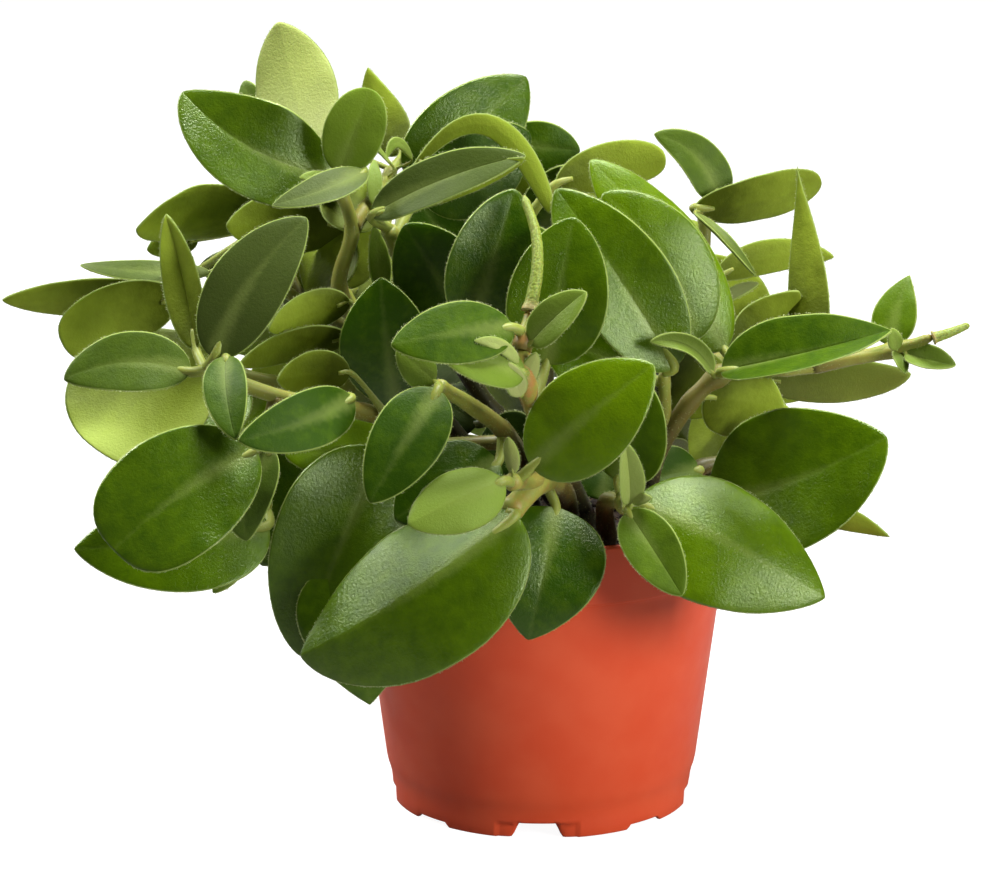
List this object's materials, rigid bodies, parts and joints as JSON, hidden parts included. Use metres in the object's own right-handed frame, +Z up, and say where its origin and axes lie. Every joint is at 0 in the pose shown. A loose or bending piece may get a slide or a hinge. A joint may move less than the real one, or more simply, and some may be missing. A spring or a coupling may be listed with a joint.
{
  "type": "potted plant",
  "caption": "Bushy peperomia with fleshy pointed leaves and rat-tail flower spikes, standing in a tapered plastic nursery pot with a notched foot.",
  "frame": {"origin": "middle of the plant's width and depth, at the height of the pot's foot", "axes": "+Z up; -Y is the side that the picture shows; +X to the right in it"},
  "size_m": [0.305, 0.2124, 0.2462],
  "materials": {
    "pot": "satin moulded plastic, terracotta red",
    "soil": "dark crumbly potting compost",
    "foliage": "glossy dark green leaves with pale hairy margins, pale undersides and tan stems",
    "flower_spike": "waxy yellow-green"
  },
  "bodies": {
    "root": {"pot": "pot", "soil": "soil", "stem_front": "foliage", "stem_front_left": "foliage", "stem_centre": "foliage", "stem_low_right": "foliage", "stem_right": "foliage", "stem_high_right": "foliage", "stem_top": "foliage", "stem_upper_left": "foliage", "stem_left_high": "foliage", "stem_left": "foliage", "stem_side_left": "foliage", "stem_side_right": "foliage", "stem_back_left": "foliage", "stem_back_middle": "foliage", "stem_back_right": "foliage", "flower_spike_centre": "flower_spike", "flower_spike_right": "flower_spike"}
  },
  "joints": []
}
